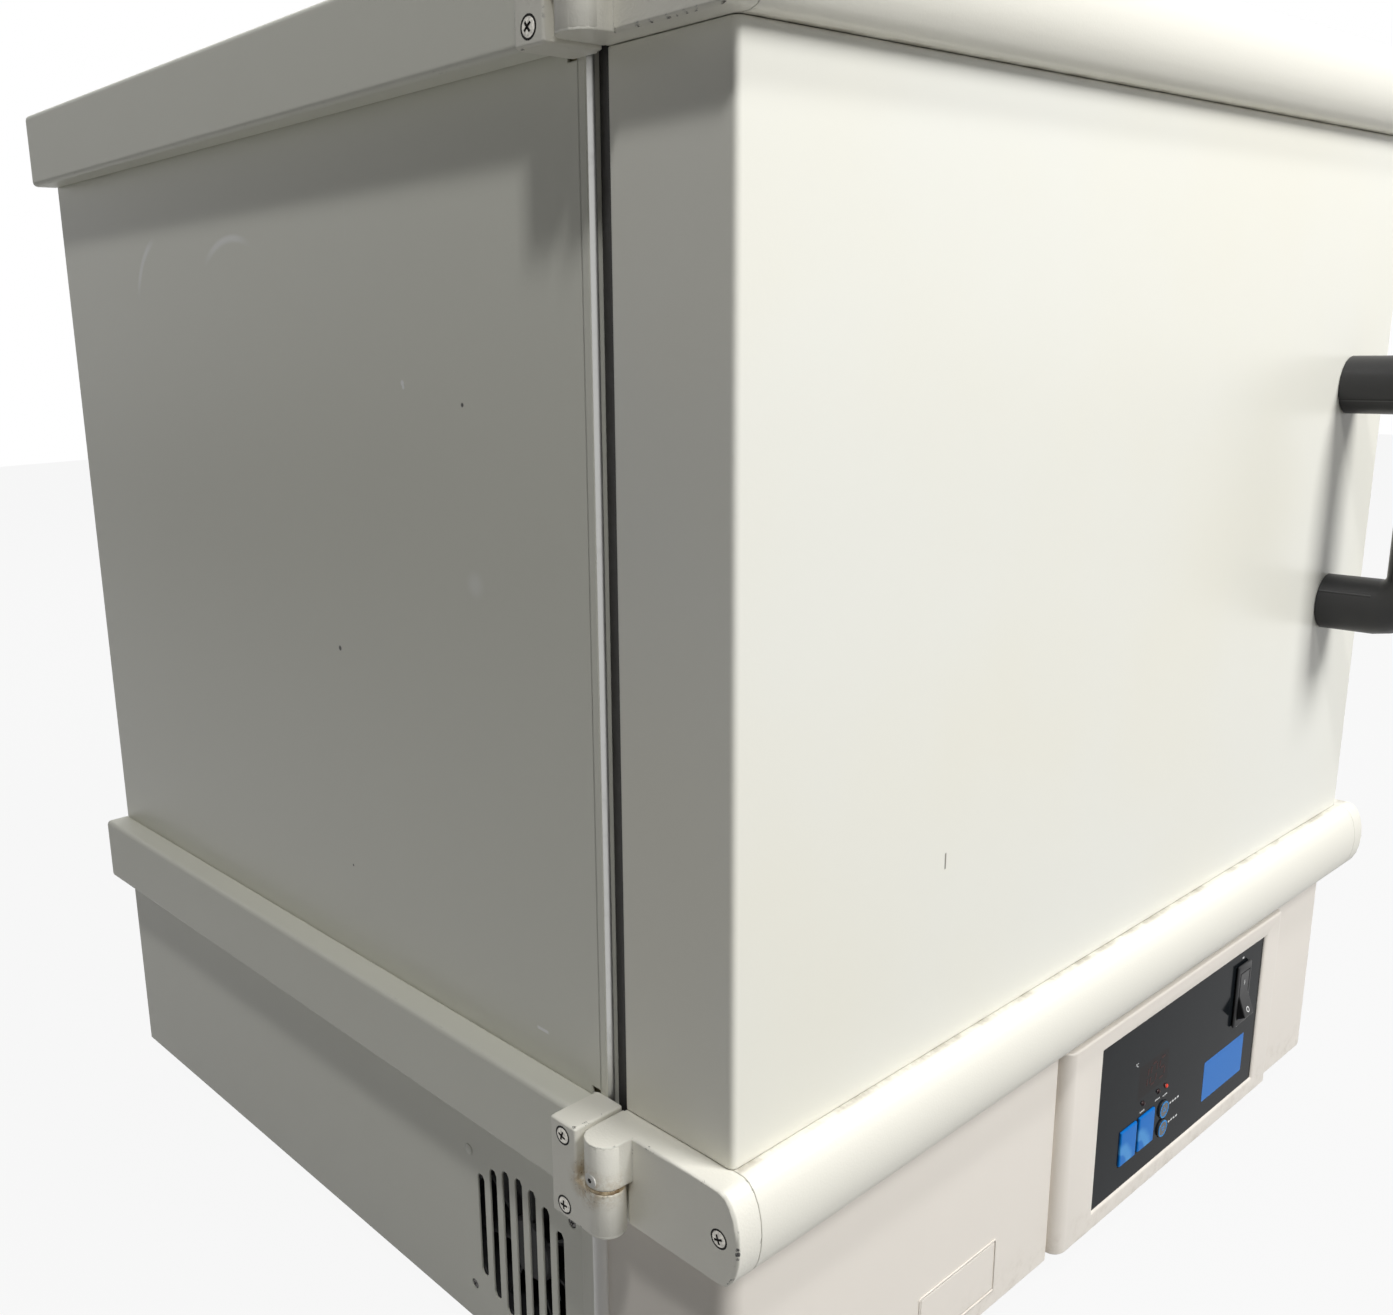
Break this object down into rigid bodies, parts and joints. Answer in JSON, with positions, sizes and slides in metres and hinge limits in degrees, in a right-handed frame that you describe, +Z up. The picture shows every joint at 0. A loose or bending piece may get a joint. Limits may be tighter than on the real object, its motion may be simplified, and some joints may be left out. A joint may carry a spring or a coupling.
{
  "type": "forced-air oven",
  "caption": "Bench forced-air oven: insulated cabinet with wire shelves and ducted chamber, side-hinged door with a bow handle, and a base with a control panel, rocker switch and fan vents.",
  "frame": {"origin": "centre of the bounding box, at the undersides of the feet", "axes": "+Z up, -Y out of the door, +X to the handle's side"},
  "size_m": [0.6692, 0.6806, 0.6852],
  "materials": {
    "cabinet_paint": "fine textured powder coat",
    "door_paint": "smooth powder coat",
    "hinge_paint": "painted zinc casting",
    "base_moulding": "painted moulding",
    "overlay": "glossy black",
    "key_blue": "satin blue",
    "black_plastic": "moulded black",
    "charcoal_plastic": "fine grained charcoal",
    "rubber_black": "matt rubber",
    "gasket_silicone": "silicone rubber",
    "chamber_steel": "brushed stainless steel",
    "shelf_chrome": "chromed wire",
    "zinc_plate": "zinc plated",
    "nylon_beige": "nylon washer",
    "mineral_wool": "pressed mineral wool",
    "motor_grey": "painted motor case",
    "board_green": "solder mask",
    "heater_sheath": "heat tinted sheath"
  },
  "bodies": {
    "cabinet": {"back_panel": "zinc_plate", "base_floor_pan": "zinc_plate", "base_front_panel": "base_moulding", "base_housing": "cabinet_paint", "blower_motor": "motor_grey", "body_insulation": "mineral_wool", "cabinet_floor": "cabinet_paint", "chamber_liner": "chamber_steel", "control_bezel": "base_moulding", "control_board": "board_green", "control_overlay": "overlay", "cooling_fan_frame": "black_plastic", "door_gasket": "gasket_silicone", "exhaust_tube": "chamber_steel", "floor_duct_panel": "chamber_steel", "front_frame": "cabinet_paint", "front_left_foot": "rubber_black", "front_right_foot": "rubber_black", "heating_element": "heater_sheath", "left_duct_panel": "chamber_steel", "left_lower_rail": "cabinet_paint", "left_side_panel": "cabinet_paint", "left_upper_rail": "cabinet_paint", "lower_hinge_block": "hinge_paint", "lower_hinge_washer": "nylon_beige", "magnetic_catch": "black_plastic", "power_inlet": "black_plastic", "rear_left_foot": "rubber_black", "rear_right_foot": "rubber_black", "right_duct_panel": "chamber_steel", "right_lower_rail": "cabinet_paint", "right_side_panel": "cabinet_paint", "right_upper_rail": "cabinet_paint", "switch_body": "black_plastic", "temperature_probe": "chamber_steel", "top_panel": "cabinet_paint", "upper_hinge_block": "hinge_paint", "upper_hinge_washer": "nylon_beige"},
    "door": {"door_outer_panel": "door_paint", "door_inner_panel": "chamber_steel", "door_insulation": "mineral_wool", "door_top_trim": "hinge_paint", "door_bottom_trim": "hinge_paint", "lower_hinge_cap": "hinge_paint", "upper_hinge_cap": "hinge_paint", "lower_hinge_pin": "zinc_plate", "upper_hinge_pin": "zinc_plate", "bottom_end_cap": "hinge_paint", "top_end_cap": "hinge_paint", "handle": "charcoal_plastic"},
    "power_rocker": {"power_rocker": "black_plastic"},
    "menu_key": {"menu_key": "key_blue"},
    "set_key": {"set_key": "key_blue"},
    "up_key": {"up_key": "key_blue"},
    "down_key": {"down_key": "key_blue"},
    "blower": {"blower_wheel": "chamber_steel"},
    "cooling_fan": {"cooling_fan_rotor": "black_plastic"},
    "vent_damper": {"vent_damper": "chamber_steel"},
    "lower_shelf": {"lower_shelf": "shelf_chrome"},
    "upper_shelf": {"upper_shelf": "shelf_chrome"}
  },
  "joints": [
    {"name": "door_hinge", "type": "hinge", "parent": "cabinet", "child": "door", "pos_m": [-0.3256, -0.2194, 0.2025], "axis": [0, 0, -1], "range_deg": [0, 165]},
    {"name": "rocker_pivot", "type": "hinge", "parent": "cabinet", "child": "power_rocker", "pos_m": [0.18525, -0.2723, 0.106], "axis": [1, 0, 0], "range_deg": [0, 20]},
    {"name": "menu_key_press", "type": "slide", "parent": "cabinet", "child": "menu_key", "axis": [0, 1, 0], "range_m": [0, 0.0008], "stiffness_N_per_m": 1500, "springref_m": -0.0004},
    {"name": "set_key_press", "type": "slide", "parent": "cabinet", "child": "set_key", "axis": [0, 1, 0], "range_m": [0, 0.0008], "stiffness_N_per_m": 1500, "springref_m": -0.0004},
    {"name": "up_key_press", "type": "slide", "parent": "cabinet", "child": "up_key", "axis": [0, 1, 0], "range_m": [0, 0.0008], "stiffness_N_per_m": 1500, "springref_m": -0.0004},
    {"name": "down_key_press", "type": "slide", "parent": "cabinet", "child": "down_key", "axis": [0, 1, 0], "range_m": [0, 0.0008], "stiffness_N_per_m": 1500, "springref_m": -0.0004},
    {"name": "blower_spin", "type": "hinge", "parent": "cabinet", "child": "blower", "pos_m": [0.0066, 0.0286, 0.2215], "axis": [0, 0, 1], "continuous": true},
    {"name": "cooling_fan_spin", "type": "hinge", "parent": "cabinet", "child": "cooling_fan", "pos_m": [-0.2909, -0.1304, 0.0816], "axis": [1, 0, 0], "continuous": true},
    {"name": "vent_damper_pivot", "type": "hinge", "parent": "cabinet", "child": "vent_damper", "pos_m": [0.2041, 0.3273, 0.5735], "axis": [0, 1, 0], "range_deg": [0, 90]},
    {"name": "lower_shelf_slide", "type": "slide", "parent": "cabinet", "child": "lower_shelf", "axis": [0, -1, 0], "range_m": [0, 0.04]},
    {"name": "upper_shelf_slide", "type": "slide", "parent": "cabinet", "child": "upper_shelf", "axis": [0, -1, 0], "range_m": [0, 0.04]}
  ]
}
